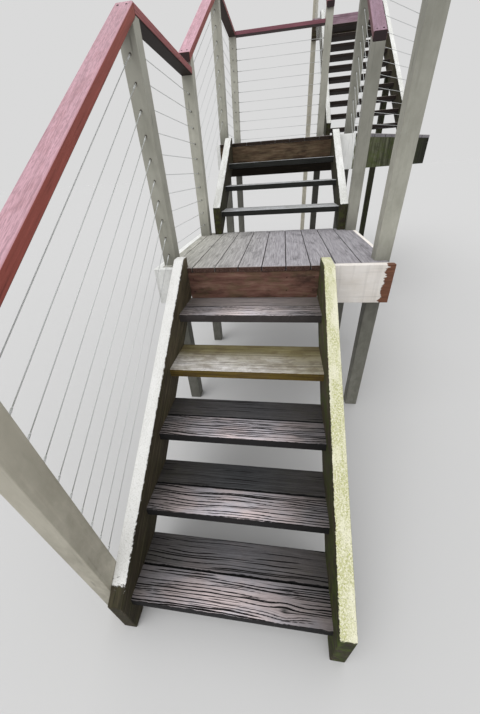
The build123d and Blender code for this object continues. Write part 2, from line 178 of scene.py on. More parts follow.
class Finish:
    """A material whose colour and bumps follow the timber's own grain."""

    def __init__(self, name, roughness=0.8, metallic=0.0, specular=0.3):
        self.material = bpy.data.materials.new(name)
        self.material.use_nodes = True
        self.tree = self.material.node_tree
        self.surface = self.tree.nodes["Principled BSDF"]
        self.surface.inputs["Roughness"].default_value = roughness
        self.surface.inputs["Metallic"].default_value = metallic
        self.surface.inputs["Specular IOR Level"].default_value = specular

    def put(self, socket, value):
        if isinstance(value, bpy.types.NodeSocket):
            self.tree.links.new(value, socket)
        else:
            socket.default_value = value

    def attribute(self, name, output="Fac"):
        node = self.tree.nodes.new("ShaderNodeAttribute")
        node.attribute_name = name
        return node.outputs[output]

    def scaled(self, places, factors):
        """Places times these factors, moved by the timber's own seed."""
        node = self.tree.nodes.new("ShaderNodeVectorMath")
        node.operation = "MULTIPLY_ADD"
        self.put(node.inputs[0], places)
        node.inputs[1].default_value = factors
        self.put(node.inputs[2], self.attribute("seed"))
        return node.outputs[0]

    def grain(self, along, across):
        """Places along and across the grain, at this many repeats a metre."""
        return self.scaled(self.attribute("grain", "Vector"), (along, across, across))

    def object_places(self):
        return self.tree.nodes.new("ShaderNodeTexCoord").outputs["Object"]

    def place(self):
        """X, Y and Z of a place on the object."""
        return self.split(self.object_places())

    def split(self, vector):
        node = self.tree.nodes.new("ShaderNodeSeparateXYZ")
        self.put(node.inputs[0], vector)
        return node.outputs

    def facing(self):
        """X, Y and Z of the way that a face looks."""
        return self.split(self.tree.nodes.new("ShaderNodeNewGeometry").outputs["True Normal"])

    def noise(self, vector, detail=3.0, rough=0.55, bend=0.0):
        node = self.tree.nodes.new("ShaderNodeTexNoise")
        self.put(node.inputs["Vector"], vector)
        node.inputs["Scale"].default_value = 1.0
        node.inputs["Detail"].default_value = detail
        node.inputs["Roughness"].default_value = rough
        node.inputs["Distortion"].default_value = bend
        return node.outputs["Fac"]

    def spots(self, vector):
        node = self.tree.nodes.new("ShaderNodeTexVoronoi")
        self.put(node.inputs["Vector"], vector)
        node.inputs["Scale"].default_value = 1.0
        return node.outputs["Distance"]

    def math(self, operation, first, second=0.0):
        node = self.tree.nodes.new("ShaderNodeMath")
        node.operation = operation
        self.put(node.inputs[0], first)
        self.put(node.inputs[1], second)
        return node.outputs[0]

    def times(self, first, second):
        return self.math("MULTIPLY", first, second)

    def step(self, value, low, high):
        """0 at low and 1 at high, smooth between them; low may be above high."""
        node = self.tree.nodes.new("ShaderNodeMapRange")
        node.interpolation_type = "SMOOTHSTEP"
        self.put(node.inputs["Value"], value)
        node.inputs["From Min"].default_value = min(low, high)
        node.inputs["From Max"].default_value = max(low, high)
        node.inputs["To Min"].default_value = 0.0 if low < high else 1.0
        node.inputs["To Max"].default_value = 1.0 if low < high else 0.0
        return node.outputs["Result"]

    def ramp(self, value, *stops):
        node = self.tree.nodes.new("ShaderNodeValToRGB")
        self.put(node.inputs[0], value)
        elements = node.color_ramp.elements
        while len(elements) < len(stops):
            elements.new(0.5)
        for element, (place, colour) in zip(elements, stops):
            element.position = place
            element.color = colour
        return node.outputs["Color"]

    def mix(self, share, first, second, blend="MIX"):
        node = self.tree.nodes.new("ShaderNodeMix")
        node.data_type = "RGBA"
        node.blend_type = blend
        factor, first_socket, second_socket = (
            [socket for socket in node.inputs if socket.enabled and socket.name == name][0]
            for name in ("Factor", "A", "B"))
        self.put(factor, share)
        self.put(first_socket, first)
        self.put(second_socket, second)
        return [socket for socket in node.outputs if socket.enabled][0]

    def shade(self, colour, amount):
        """The colour made darker or lighter by this amount."""
        grey = self.tree.nodes.new("ShaderNodeCombineColor")
        for socket in grey.inputs[:3]:
            self.put(socket, amount)
        return self.mix(1.0, colour, grey.outputs[0], "MULTIPLY")

    def shade_where(self, colour, value, low, high, amount, share=1.0):
        """The colour shaded by this amount where the value nears high, by this share of it."""
        there = self.times(self.step(value, low, high), share)
        return self.mix(there, colour, self.shade(colour, amount))

    def across_face(self, level, upright):
        """Places for marks that run down a face, whichever way its grain lies."""
        return self.scaled(self.object_places(), (level, level, upright))

    def speckle(self, colour, scale, share, light=1.35, dark=0.6):
        """The colour with paler and darker spots, scale of them a metre."""
        dots = self.noise(self.grain(scale, scale), detail=3, rough=0.7)
        colour = self.shade_where(colour, dots, 0.54, 0.66, light, share)
        return self.shade_where(colour, dots, 0.46, 0.34, dark, share)

    def growth(self, colour, share, tint, along=9, across=20):
        """The colour with ragged patches of this tint."""
        patch = self.noise(self.grain(along, across), detail=5, rough=0.65)
        return self.mix(self.times(self.step(patch, 0.45, 0.61), share), colour, tint)

    def finish(self, colour, height=None, depth=0.001):
        self.put(self.surface.inputs["Base Color"], colour)
        if height is not None:
            bump = self.tree.nodes.new("ShaderNodeBump")
            bump.inputs["Distance"].default_value = depth
            self.put(bump.inputs["Height"], height)
            self.put(self.surface.inputs["Normal"], bump.outputs[0])
        return self.material


def split_tread(name, dark, middle, ridge, wear_and_sheen_tint):
    """Grey timber with black splits, its ridges pale from the wear of feet and a painted sheen, and
    its front faces near black as a painted shade.
    """
    f = Finish(name, 0.85, specular=0.2)
    streak = f.noise(f.grain(2.6, 380), detail=5, rough=0.7, bend=0.15)
    fine = f.noise(f.grain(26, 520), detail=2, rough=0.6)
    broad = f.noise(f.grain(5, 10), detail=4)
    colour = f.ramp(streak, (0.30, dark), (0.50, middle), (0.70, ridge))
    colour = f.shade_where(colour, broad, 0.42, 0.66, 0.85)
    colour = f.mix(f.times(f.attribute("moss"), f.times(streak, 6.0)), colour, TREAD_END)
    ridges = f.math("ADD", 0.45, f.times(f.step(streak, 0.30, 0.52), 0.55))
    worn = f.times(f.attribute("worn"), ridges)
    # The pale ridges: wear, with a painted sheen that turns cool blue-white in patches
    tint = f.mix(f.times(f.step(broad, 0.36, 0.64), 0.7), wear_and_sheen_tint, COOL_SHEEN)
    colour = f.mix(worn, colour, tint)
    colour = f.shade(colour, f.attribute("tone"))
    colour = f.shade_where(colour, fine, 0.50, 0.68, 1.2)
    colour = f.shade_where(colour, fine, 0.46, 0.30, 0.78)
    colour = f.growth(colour, f.attribute("moss"), srgb(70, 76, 40), 16, 26)
    # Painted shade: the front faces nearly black
    front = f.step(f.facing()[1], -0.5, -0.85)
    colour = f.mix(f.times(front, 0.94), colour, f.shade(dark, 0.46))
    colour = f.mix(f.step(f.attribute("crack"), 0.04, 0.34), colour, BLACK_SPLIT)
    return f.finish(colour, streak, 0.0012)


def bare_board(name, dark, middle, light, stain, stain_share=0.5, moss_share=0.0, moss=MOSS,
               along=5, across=150, speck=0.35, front=None):
    """Unpainted weathered timber, streaked along the grain, with stains and darker end grain.

    along and across are how often the streaks change in a metre, and speck is how spotty it is.
    front is a darker colour for its upright and lower faces than for its top: a painted shade.
    """
    f = Finish(name, 0.85, specular=0.2)
    streak = f.noise(f.grain(along, across), detail=5, rough=0.62, bend=0.2)
    colour = f.ramp(streak, (0.30, dark), (0.50, middle), (0.70, light))
    blot = f.noise(f.grain(5, 11), detail=4, rough=0.6)
    colour = f.mix(f.times(f.step(blot, 0.50, 0.68), stain_share), colour, stain)
    if moss_share:
        colour = f.growth(colour, moss_share, moss)
    colour = f.speckle(colour, 420, speck)
    colour = f.shade(colour, f.attribute("tone"))
    if front:
        # Painted shade: the upright and lower faces given the darker front colour
        edge = f.ramp(streak, (0.34, dimmed(front, 0.6)), (0.52, front), (0.72, dimmed(front, 1.5)))
        colour = f.mix(f.step(f.facing()[2], 0.35, 0.15), colour, edge)
    colour = f.mix(f.attribute("end"), colour, dark)
    return f.finish(colour, streak, 0.0009)


def olive_tread(name):
    """The newer single board: olive, pale at its front from wear and a painted sheen, except at the
    right end.

    Its front edge is golden brown.
    """
    f = Finish(name, 0.8, specular=0.25)
    streak = f.noise(f.grain(4, 110), detail=5, rough=0.6)
    olive = f.ramp(streak, (0.30, srgb(108, 100, 70)), (0.52, srgb(126, 118, 86)),
                   (0.74, srgb(144, 136, 104)))
    pale = f.ramp(streak, (0.30, srgb(190, 186, 178)), (0.52, srgb(214, 211, 207)),
                  (0.74, srgb(228, 226, 224)))
    front = f.ramp(streak, (0.30, srgb(68, 55, 22)), (0.52, srgb(99, 82, 36)),
                   (0.74, srgb(124, 104, 55)))
    run, rear, _ = f.split(f.attribute("grain", "Vector"))
    # The pale front: wear and a painted sheen, with less of it towards the right end
    dull_right_end = f.times(f.step(run, 0.46, 0.80), 0.7)
    worn = f.times(f.step(rear, 0.22, 0.05), f.math("SUBTRACT", 1.0, dull_right_end))
    top = f.mix(worn, olive, pale)
    top = f.growth(top, 0.35, srgb(118, 108, 66), 5, 9)
    colour = f.mix(f.step(f.facing()[1], -0.4, -0.8), top, front)
    colour = f.growth(colour, 0.35, srgb(84, 66, 50), 12, 22)
    colour = f.speckle(colour, 300, 0.35)
    colour = f.mix(f.step(f.attribute("crack"), 0.2, 0.8), colour, srgb(60, 50, 34))
    return f.finish(colour, streak, 0.0006)


def landing_board(name, edge_low, edge_high):
    """Grey boards, greener where the green mark is set, with dark front edges."""
    f = Finish(name, 0.85, specular=0.2)
    streak = f.noise(f.grain(6, 120), detail=5, rough=0.62, bend=0.2)
    colour = f.ramp(streak, (0.30, srgb(124, 121, 125)), (0.52, srgb(164, 161, 166)),
                    (0.72, srgb(190, 187, 193)))
    green = f.ramp(streak, (0.30, srgb(132, 131, 122)), (0.52, srgb(176, 175, 166)),
                   (0.72, srgb(202, 201, 192)))
    colour = f.mix(f.attribute("green"), colour, green)
    colour = f.speckle(colour, 240, 0.9, 1.25, 0.62)
    blot = f.noise(f.grain(6, 10), detail=5, rough=0.65)
    colour = f.shade_where(colour, blot, 0.54, 0.66, 0.5, 0.6)
    colour = f.shade(colour, f.attribute("tone"))
    face = f.facing()
    edge = f.step(face[1], -0.6, -0.9)
    edge_tone = f.ramp(streak, (0.35, edge_low), (0.65, edge_high))
    colour = f.mix(edge, colour, edge_tone)
    pale = f.times(f.step(face[1], -0.15, -0.3), f.step(face[2], 0.2, 0.4))
    colour = f.mix(f.times(pale, 0.7), colour, srgb(176, 168, 166))
    return f.finish(colour, streak, 0.0008)


def painted_timber(name, paint, deep, bare, peel=0.0, grime=0.5, knots=0.6, streaks=0.0, rot=None,
                   deck=None):
    """Flat old paint over faint grain, dirty low down, with bare timber where it has peeled.

    streaks is how strong the dirt is that runs down it. rot is the X where the paint of the
    front board is sound and the X where it is gone. deck is the Z of the landing that a post
    passes: its paint is dirty just above, and darker below as a painted shade under the boards.
    """
    f = Finish(name, 0.62, specular=0.35)
    streak = f.noise(f.grain(3.2, 60), detail=4, rough=0.6)
    cloud = f.noise(f.grain(3.5, 6), detail=4, rough=0.6)
    colour = f.ramp(cloud, (0.36, deep), (0.60, paint))
    colour = f.shade_where(colour, streak, 0.54, 0.72, 1.08)
    colour = f.shade_where(colour, streak, 0.44, 0.28, 0.86)
    knot = f.spots(f.grain(2.6, 17))
    colour = f.shade_where(colour, knot, 0.13, 0.05, 0.45, knots)
    dirt_and_shade = f.noise(f.grain(14, 22), detail=5, rough=0.7)
    dirty = f.times(f.times(f.attribute("low"), grime), f.step(dirt_and_shade, 0.40, 0.60))
    colour = f.mix(dirty, colour, srgb(84, 84, 58))
    if deck:
        height = f.math("ADD", f.place()[2], f.times(f.math("SUBTRACT", dirt_and_shade, 0.5), 0.10))
        colour = f.shade_where(colour, height, deck + SPLASH_AND_SHADE, deck, 0.42, 0.7)
        # Painted shade: the paint darker below the deck, where the boards shade the post
        colour = f.shade_where(colour, height, deck, deck - SPLASH_AND_SHADE, 0.55)
    if streaks:
        run = f.noise(f.across_face(34, 2.2), detail=4, rough=0.65)
        colour = f.mix(f.times(f.step(run, 0.50, 0.66), streaks), colour, srgb(96, 94, 80))
    flake = f.noise(f.grain(9, 40), detail=6, rough=0.7)
    if rot:
        x, y, _ = f.place()
        outer = f.times(f.step(x, *rot), f.step(y, *ROT_DEPTH))
        flake = f.math("ADD", flake, f.times(outer, 0.5))
    gone = f.step(flake, 0.78 - peel, 0.795 - peel)
    fibre = f.noise(f.grain(7, 190), detail=5, rough=0.65)
    wood = f.ramp(fibre, (0.30, dimmed(bare, 0.4)), (0.62, bare))
    colour = f.mix(gone, colour, wood)
    height = f.math("SUBTRACT", f.times(streak, 0.4), gone)
    # The tone mark: a random tone, and on some posts and tread boards a painted light and shade
    return f.finish(f.shade(colour, f.attribute("tone")), height, 0.0006)


def stringer_timber(name, paint, speckle, speckle_share, moss_share, chip=0.006, drip=0.010,
                    bare_foot=None, face=1.0):
    """A dark sloping board whose top edge carries old paint, chipped along the inner side.

    The grain starts at the foot, at the inner face and at the top edge. chip is how far in the
    paint is chipped, drip how far it runs down the sides, and bare_foot the Y up to which it
    has gone. face is how light the sides are.
    """
    f = Finish(name, 0.8, specular=0.25)
    place = f.split(f.attribute("grain", "Vector"))
    streak = f.noise(f.grain(5, 130), detail=5, rough=0.65, bend=0.2)
    colour = f.ramp(streak, (0.30, srgb(46, 40, 31)), (0.52, srgb(84, 75, 58)),
                    (0.72, srgb(122, 112, 90)))
    colour = f.growth(colour, 0.5, srgb(60, 52, 42), 4, 12)
    colour = f.growth(colour, moss_share, MOSS, 10, 22)
    damp = f.step(place[0], 1.7, 0.2)
    colour = f.mix(damp, f.shade(colour, face), f.shade(colour, 0.5 * face))
    colour = f.growth(colour, f.times(f.step(place[0], 0.9, 0.0), moss_share), MOSS, 22, 30)
    broad = f.noise(f.grain(16, 12), detail=3, rough=0.5)
    ragged = f.noise(f.grain(80, 40), detail=6, rough=0.72)
    bite = f.math("ADD", f.times(f.step(broad, 0.45, 0.66), f.step(ragged, 0.34, 0.62)),
                  f.times(f.step(ragged, 0.40, 0.66), 0.35))
    deeper = f.math("ADD", 1.0, f.times(f.step(place[0], 0.7, 0.0), 1.2))
    kept = f.math("GREATER_THAN", place[1], f.times(f.times(bite, deeper), chip))
    on_top = f.times(f.step(f.facing()[2], 0.50, 0.56), kept)
    run = f.times(f.step(ragged, 0.45, 0.66), -drip)
    dripped = f.math("GREATER_THAN", place[2], run)
    mask = f.math("MAXIMUM", on_top, dripped)
    if bare_foot:
        end = f.math("ADD", f.place()[1], f.times(f.math("SUBTRACT", ragged, 0.5), 0.14))
        mask = f.times(mask, f.step(end, bare_foot - 0.004, bare_foot + 0.004))
    fleck = f.noise(f.grain(150, 150), detail=4, rough=0.7)
    patch = f.noise(f.grain(5, 18), detail=3, rough=0.6)
    share = f.times(f.step(fleck, 0.36, 0.64), f.step(patch, 0.32, 0.58))
    coat = f.mix(f.times(share, speckle_share), paint, speckle)
    dots = f.noise(f.grain(260, 260), detail=3, rough=0.7)
    coat = f.mix(f.times(f.step(dots, 0.44, 0.34), 0.30 + 0.50 * speckle_share), coat,
                 srgb(104, 102, 74))
    colour = f.mix(mask, colour, coat)
    height = f.math("ADD", f.times(streak, 0.5), mask)
    return f.finish(colour, height, 0.0012)


def red_rail(name, faded, flank, under):
    """Oiled hardwood, faded mauve on top, deep red at the sides and nearly black at the ends, with
    a painted highlight along the upper arrises and a painted shade underneath.
    """
    f = Finish(name, 0.6, specular=0.22)
    streak = f.noise(f.grain(4, 130), detail=5, rough=0.62)
    side = f.mix(f.step(streak, 0.50, 0.30), flank, f.shade(flank, 0.62))
    side = f.mix(f.step(streak, 0.52, 0.74), side, f.shade(flank, 1.4))
    top = f.mix(f.step(streak, 0.50, 0.36), faded, f.shade(faded, 0.76))
    top = f.mix(f.step(streak, 0.52, 0.68), top, f.shade(faded, 1.16))
    top = f.growth(top, 0.35, f.mix(0.4, f.shade(faded, 0.6), flank), 7, 20)
    fleck = f.noise(f.grain(32, 230), detail=4, rough=0.65)
    top = f.mix(f.times(f.step(fleck, 0.52, 0.60), 0.75), top, f.shade(faded, 0.66))
    top = f.mix(f.times(f.step(fleck, 0.46, 0.38), 0.5), top, f.shade(faded, 1.2))
    up = f.facing()[2]
    colour = f.mix(f.step(up, 0.5, 0.75), side, top)
    # Painted highlight: a lighter strip along the upper arrises
    arris = f.times(f.step(up, 0.35, 0.5), f.step(up, 0.78, 0.72))
    colour = f.mix(f.times(arris, 0.7), colour, f.shade(faded, 1.25))
    # Painted shade: the underside darker
    colour = f.mix(f.step(up, -0.3, -0.7), colour, under)
    colour = f.mix(f.times(f.attribute("end"), 0.95), colour, srgb(40, 33, 34))
    return f.finish(colour, streak, 0.0006)


def metal(name, colour, roughness, metallic=1.0):
    f = Finish(name, roughness, metallic=metallic, specular=0.5)
    return f.finish(colour)


def place_piece(name, mesh, slot, *replaced):
    """Put the piece in the scene, on its body, in place of the nodes that it stands for."""
    obj = bpy.data.objects.new(name, mesh)
    bpy.context.scene.collection.objects.link(obj)
    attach(obj, "root")
    if replaced:
        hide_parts(*replaced)


def timber_piece(name, bm, finish, slot, *replaced):
    mesh = bpy.data.meshes.new(name)
    bm.to_mesh(mesh)
    bm.free()
    mesh.materials.append(finish)
    place_piece(name, mesh, slot, *replaced)


def ease(bm, edges, arris):
    """Round these edges off by this much."""
    bmesh.ops.bevel(bm, geom=edges, offset=arris, segments=ARRIS_STEPS, profile=0.5,
                    affect="EDGES", clamp_overlap=True)


def merged(node):
    """The CAD solid's mesh with each flat face in one piece."""
    bm = bmesh.new()
    bm.from_mesh(nodes[node].data)
    bmesh.ops.remove_doubles(bm, verts=bm.verts[:], dist=MERGE_DISTANCE)
    bmesh.ops.dissolve_limit(bm, angle_limit=math.radians(FLAT_EDGE), verts=bm.verts[:],
                             edges=bm.edges[:])
    return bm


def islands(bm):
    """The separate timbers in a mesh, as lists of vertices."""
    seen = set()
    groups = []
    for first in bm.verts:
        if first in seen:
            continue
        seen.add(first)
        waiting = [first]
        group = []
        while waiting:
            vertex = waiting.pop()
            group.append(vertex)
            for edge in vertex.link_edges:
                other = edge.other_vert(vertex)
                if other not in seen:
                    seen.add(other)
                    waiting.append(other)
        groups.append(group)
    return groups


def grain_frame(group):
    """The way the grain runs, the way across it, and the way out of the upper face."""
    longest = max((edge for vertex in group for edge in vertex.link_edges),
                  key=lambda edge: edge.calc_length())
    along = (longest.verts[1].co - longest.verts[0].co).normalized()
    main = max(range(3), key=lambda axis: abs(along[axis]))
    if along[main] < 0:
        along = -along
    if abs(along.z) > NEAR_UPRIGHT:
        across = Vector((1, 0, 0))
    else:
        across = along.cross(Vector((0, 0, 1))).normalized()
    up = across.cross(along).normalized()
    if up.z < 0:
        up = -up
    return along, across, up


# What a finish reads at each place of a timber, besides its grain
MARKS = ("seed", "tone", "end", "low", "green")


def timber(node, finish, arris=ARRIS, inner_high=None, tones=(0.94, 1.06), marks=None, drop=0.0):
    """A CAD timber with eased arrises and the marks that its finish reads.

    inner_high is for a stringer: True where its inner face is the one at high X. tones is the
    range that each timber's tone is drawn from, marks is a function of a place, and drop is how
    far its lower edge is let down.
    """
    bm = merged(node)
    if drop:
        lowest = min(vertex.co.z for vertex in bm.verts)
        for vertex in bm.verts:
            if vertex.co.z < lowest + drop:
                vertex.co.z -= drop
    sharp = [edge for edge in bm.edges
             if len(edge.link_faces) == 2 and edge.calc_face_angle() > math.radians(SHARP_EDGE)]
    ease(bm, sharp, arris)
    grain = bm.verts.layers.float_vector.new("grain")
    layers = {key: bm.verts.layers.float.new(key) for key in MARKS}
    for group in islands(bm):
        along, across, up = grain_frame(group)
        if inner_high is not None:
            across = Vector((-1 if inner_high else 1, 0, 0))
        start = min(vertex.co.dot(along) for vertex in group)
        side = min(vertex.co.dot(across) for vertex in group)
        top = max(vertex.co.dot(up) for vertex in group)
        seed = dice.uniform(0, SEED_SPREAD)
        tone = dice.uniform(*tones)
        for vertex in group:
            place = vertex.co
            run = place.dot(along) - start
            vertex[grain] = Vector((run, place.dot(across) - side, place.dot(up) - top))
            vertex[layers["seed"]] = seed
            vertex[layers["tone"]] = tone
            vertex[layers["low"]] = max(0.0, 1.0 - place.z / DIRT_HEIGHT)
            if marks:
                for key, value in marks(place).items():
                    vertex[layers[key]] = value
        for face in {face for vertex in group for face in vertex.link_faces}:
            if abs(face.normal.dot(along)) > END_FACING:
                for vertex in face.verts:
                    vertex[layers["end"]] = 1.0
    timber_piece(node + "_look", bm, finish, slots[node], node)


def tone_change(axis, box, low, high):
    """Marks for a tone that goes from low to high along this axis of a box."""
    def marks(place):
        share = (place[axis] - box[0][axis]) / (box[1][axis] - box[0][axis])
        return {"tone": low + (high - low) * share}
    return marks


def landing_marks(box):
    """Marks for boards that are greener to the left and darker to the right."""
    def marks(place):
        share = (place.x - box[0].x) / (box[1].x - box[0].x)
        return {"green": max(0.0, 1.0 - share * 1.9), "tone": 1.08 - 0.4 * max(0.0, share - 0.45)}
    return marks


def boards(name, pairs, along, finish, slot, arris):
    """Straight boards with eased arrises, each between two corners, that stand for no node."""
    bm = bmesh.new()
    for low, high in pairs:
        bmesh.ops.create_cube(bm, size=1, matrix=Matrix.Translation((low + high) / 2) @
                              Matrix.Diagonal((*(high - low), 1)))
    ease(bm, bm.edges[:], arris)
    across = along.cross(Vector((0, 0, 1)))
    grain = bm.verts.layers.float_vector.new("grain")
    tone = bm.verts.layers.float.new("tone")
    for vertex in bm.verts:
        vertex[grain] = Vector((vertex.co.dot(along), vertex.co.dot(across), vertex.co.z))
        vertex[tone] = 1.0
    timber_piece(name, bm, finish, slot)


def packed_dirt(node, finish):
    """Dirt packed in the gaps between the boards of a landing, a little below their tops."""
    bm = merged(node)
    planks = []
    for group in islands(bm):
        places = [vertex.co for vertex in group]
        left = min(place.x for place in places)
        right = max(place.x for place in places)
        left_side = [place.y for place in places if place.x < left + TOUCH]
        right_side = [place.y for place in places if place.x > right - TOUCH]
        levels = [place.z for place in places]
        planks.append((left, right, left_side, right_side, min(levels), max(levels)))
    bm.free()
    planks.sort(key=lambda plank: plank[0])
    pairs = []
    for (_, start, _, side, under, top), (end, _, other, _, _, _) in zip(planks, planks[1:]):
        near = max(min(side), min(other)) + DIRT_BACK
        far = min(max(side), max(other)) - DIRT_BACK
        corners = (Vector((start - DIRT_BITE, near, under + DIRT_BACK)),
                   Vector((end + DIRT_BITE, far, top - DIRT_SINK)))
        if min(corners[1] - corners[0]) > 0:
            pairs.append(corners)
    boards(node + "_dirt", pairs, Vector((0, 1, 0)), finish, slots[node], DIRT_ARRIS)


def wander(count, places):
    """Smooth random numbers from -1 to 1, through this many turning points."""
    turns = draw.uniform(-1, 1, count)
    at = places * (count - 1)
    low = np.clip(at.astype(int), 0, count - 2)
    share = at - low
    share = share * share * (3 - 2 * share)
    return turns[low] * (1 - share) + turns[low + 1] * share


def board_profile(width, thick):
    """Round a tread board: how far back from its front and how far below its top each place is."""
    turn = np.linspace(0, math.pi / 2, 4)[1:-1]
    inner = np.linspace(EDGE_ROUND, width - EDGE_ROUND, round(width / ACROSS_STEP))
    points = [(0, -thick), (0, -thick / 2), (0, -EDGE_ROUND)]
    points += [(EDGE_ROUND * (1 - math.cos(a)), EDGE_ROUND * (math.sin(a) - 1)) for a in turn]
    points += [(u, 0) for u in inner]
    points += [(width - EDGE_ROUND * (1 - math.sin(a)), EDGE_ROUND * (math.cos(a) - 1))
               for a in turn]
    points += [(width, -EDGE_ROUND), (width, -thick / 2), (width, -thick), (width / 2, -thick)]
    return (np.array(values)[None, :] for values in zip(*points))


def knotted_grain(run, u, knots):
    """How far back each place's grain started, before it swung round the knots, and their dark."""
    flow = u + np.zeros_like(run)
    dark = np.zeros_like(flow)
    for knot_run, knot_u, size in knots:
        ds = (run - knot_run) / (size * 3)
        du = (u - knot_u) / size
        pull = np.exp(-ds * ds - du * du * 0.4)
        flow = flow - du * size * 0.75 * pull
        dark = np.maximum(dark, np.exp(-(ds * 3) ** 2 - (du * 2) ** 2))
    return flow, dark


def split_grain(s, flow, width, splits, depth, spread):
    """How open the splits are at each place, and how deep they are cut."""
    sway = (wander(5, s) * SPLIT_SWAY)[:, None]
    split = np.zeros_like(flow)
    cut = np.zeros_like(flow)
    lines = max(1, round(width / SPLIT_SPACING)) * splits
    for index in range(lines):
        deep = index % splits == 0
        centre = (index + 0.5 + draw.uniform(-0.35, 0.35)) * width / lines
        line = centre + sway + (wander(9, s) * SPLIT_DRIFT)[:, None]
        bias = spread if deep else spread - 0.7
        strength = np.clip(wander(5 if deep else 7, s) * 1.3 + bias, 0, 1)
        half = (DEEP_HALF if deep else FINE_HALF) * draw.uniform(0.6, 1.35)
        shape = np.clip(1 - np.abs(flow - line) / half, 0, 1) * strength[:, None]
        split = np.maximum(split, shape)
        cut = np.maximum(cut, shape * depth * (1 if deep else 0.4))
    return split, cut


def ring_faces(rings, around):
    """Faces between rings of this many places, and one at each end."""
    faces = []
    for ring in range(rings - 1):
        here = ring * around
        for j in range(around):
            k = (j + 1) % around
            faces.append((here + j, here + k, here + around + k, here + around + j))
    faces.append(tuple(range(around - 1, -1, -1)))
    faces.append(tuple((rings - 1) * around + j for j in range(around)))
    return faces


def split_board(low, high, splits, depth, worn, knots=(), moss=0.1, spread=1.0, bitten=1.0,
                tone=1.0):
    """One tread board with lengthwise splits: its places, faces and marks.

    The grain runs along X. splits is how many splits there are to each spacing, and depth is
    how deep they go. The argument after depth is how pale the ridges are at the middle of the
    front, from wear and a painted sheen. spread is how much of the length the splits take, from
    about -0.5 to 1, and bitten is how ragged the front arris is.
    """
    length, width, thick = high - low
    stations = round(length / ALONG_STEP) + 1
    s = np.linspace(0, 1, stations)
    along = s[:, None]
    u, v = board_profile(width, thick)
    flow, knot_dark = knotted_grain(along * length, u, knots)
    split, cut = split_grain(s, flow, width, splits, depth, spread)
    top = np.clip((v + EDGE_ROUND) / EDGE_ROUND, 0, 1)
    ragged = np.abs(wander(60, s)) * BITE_FINE + np.abs(wander(17, s)) * BITE_BROAD
    bite = ragged[:, None] * (np.exp(-u / BITE_BACK) * np.clip(1 + v / BITE_DOWN, 0, 1) * bitten)
    flat = np.zeros_like(flow)
    x = low[0] + along * length + flat
    y = np.minimum(low[1] + u + bite, high[1]) + flat
    z = np.maximum(high[2] + v - cut * top - bite * 0.8, low[2])
    middle = np.exp(-((along - 0.50) / 0.33) ** 2)
    # The pale middle of the front: wear and a painted sheen
    pale = worn * (0.10 + 0.90 * middle) * (1 - 0.5 * u / width) * (1 - knot_dark)
    marks = {"crack": split * top + flat,
             "worn": pale * top + 0.35 * pale * (1 - top) + flat,
             "moss": moss * (1 - middle) + flat,
             "tone": tone + flat,
             "seed": draw.uniform(0, SEED_SPREAD) + flat}
    places = np.stack([x, y, z], -1).reshape(-1, 3)
    grain = np.stack([along * length + flat, flow, v + flat], -1).reshape(-1, 3)
    faces = ring_faces(stations, u.shape[1])
    return places, faces, grain, {key: value.reshape(-1) for key, value in marks.items()}


def split_piece(node, finish, *made):
    """The split boards of one tread as one piece in place of their node."""
    places, board_faces, grain, marks = zip(*made)
    faces = []
    first = 0
    for board, some in zip(places, board_faces):
        faces += [tuple(index + first for index in face) for face in some]
        first += len(board)
    mesh = bpy.data.meshes.new(node + "_look")
    mesh.from_pydata(np.concatenate(places).tolist(), [], faces)
    layer = mesh.attributes.new("grain", "FLOAT_VECTOR", "POINT")
    layer.data.foreach_set("vector", np.concatenate(grain).astype(np.float32).reshape(-1))
    for key in marks[0]:
        values = np.concatenate([board_marks[key] for board_marks in marks])
        layer = mesh.attributes.new(key, "FLOAT", "POINT")
        layer.data.foreach_set("value", values.astype(np.float32))
    mesh.materials.append(finish)
    mesh.validate()
    place_piece(node + "_look", mesh, slots[node], node)


class Turned:
    """Straight round and six-sided lengths, gathered into one mesh."""

    def __init__(self):
        self.places = []
        self.faces = []
        self.smooth = []
        self.finishes = []

    def length(self, start, end, radius, sides, end_radius=None, finish=0):
        run = (end - start).normalized()
        aside = Vector((0, 0, 1)) if abs(run.z) < NEAR_UPRIGHT else Vector((1, 0, 0))
        side = run.cross(aside).normalized()
        other = run.cross(side)
        first = len(self.places)
        for centre, size in ((start, radius), (end, end_radius or radius)):
            for index in range(sides):
                angle = 2 * math.pi * index / sides
                way = side * math.cos(angle) + other * math.sin(angle)
                self.places.append(centre + way * size)
        for index in range(sides):
            after = (index + 1) % sides
            self.faces.append((first + index, first + sides + index, first + sides + after,
                               first + after))
            self.smooth.append(sides > NUT_SIDES)
        self.faces.append(tuple(first + index for index in range(sides)))
        self.faces.append(tuple(first + sides + index for index in range(sides - 1, -1, -1)))
        self.smooth += [False, False]
        self.finishes += [finish] * (sides + 2)

    def piece(self, name, finishes, slot, *replaced):
        mesh = bpy.data.meshes.new(name)
        mesh.from_pydata([tuple(place) for place in self.places], [], self.faces)
        mesh.polygons.foreach_set("use_smooth", self.smooth)
        for finish in finishes:
            mesh.materials.append(finish)
        mesh.polygons.foreach_set("material_index", self.finishes)
        mesh.update()
        place_piece(name, mesh, slot, *replaced)


def cable_ends(node):
    """The middle of each cable's two end faces."""
    bm = merged(node)
    ends = []
    for group in islands(bm):
        reach = [max(v.co[axis] for v in group) - min(v.co[axis] for v in group) for axis in (0, 1)]
        axis = 0 if reach[0] > 2 * reach[1] else 1
        low = min(vertex.co[axis] for vertex in group)
        high = max(vertex.co[axis] for vertex in group)
        pair = []
        for limit in (low, high):
            near = [vertex.co for vertex in group if abs(vertex.co[axis] - limit) < TOUCH]
            pair.append(sum(near, Vector()) / len(near))
        ends.append(pair)
    bm.free()
    return ends


